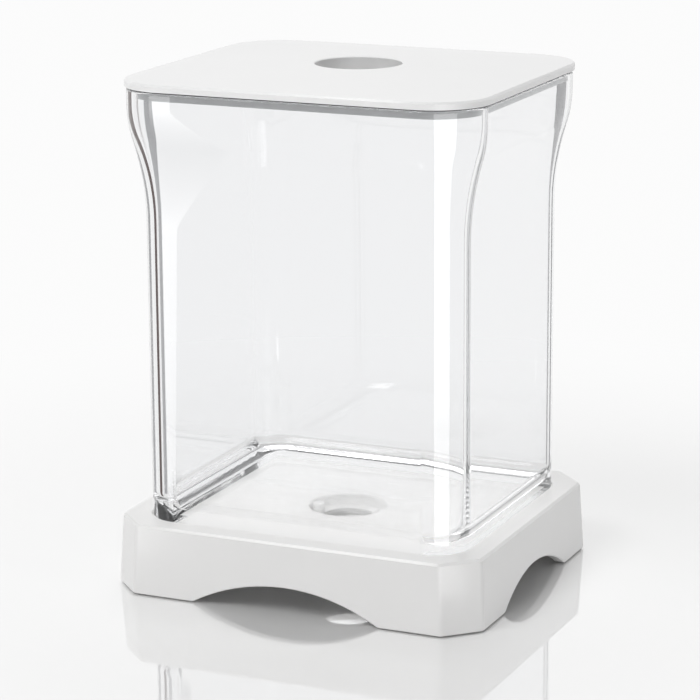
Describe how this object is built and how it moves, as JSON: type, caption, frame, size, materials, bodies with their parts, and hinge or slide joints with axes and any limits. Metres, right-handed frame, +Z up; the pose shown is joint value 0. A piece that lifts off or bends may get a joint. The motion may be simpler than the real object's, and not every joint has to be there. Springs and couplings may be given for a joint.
{
  "type": "betta fish tank",
  "caption": "Small clear fish tank with a flared mouth, seated on a white base with arched sides, with a lift-off lid that has a feeding hole.",
  "frame": {"origin": "on the table, under the middle of the base", "axes": "+Z up, +X to the right seen from the front, -Y towards the front, which has the wide bare side of the base"},
  "size_m": [0.167, 0.147, 0.2185],
  "materials": {
    "base_plastic": "semi-gloss white",
    "lid_plastic": "semi-gloss white",
    "clear_acrylic": "clear and polished",
    "frame_plastic": "grey, semi-gloss",
    "seal_rubber": "matte dark",
    "pad_rubber": "matte dark"
  },
  "bodies": {
    "base": {"base_housing": "base_plastic", "foot_pad_front_left": "pad_rubber", "foot_pad_front_right": "pad_rubber", "foot_pad_back_left": "pad_rubber", "foot_pad_back_right": "pad_rubber"},
    "tank": {"tank_body": "clear_acrylic"},
    "lid": {"lid_panel": "lid_plastic", "lid_locating_frame": "frame_plastic", "lid_seal": "seal_rubber"}
  },
  "joints": [
    {"name": "tank_lift", "type": "slide", "parent": "base", "child": "tank", "axis": [0, 0, 1], "range_m": [0, 0.06]},
    {"name": "lid_lift", "type": "slide", "parent": "tank", "child": "lid", "axis": [0, 0, 1], "range_m": [0, 0.06]}
  ]
}
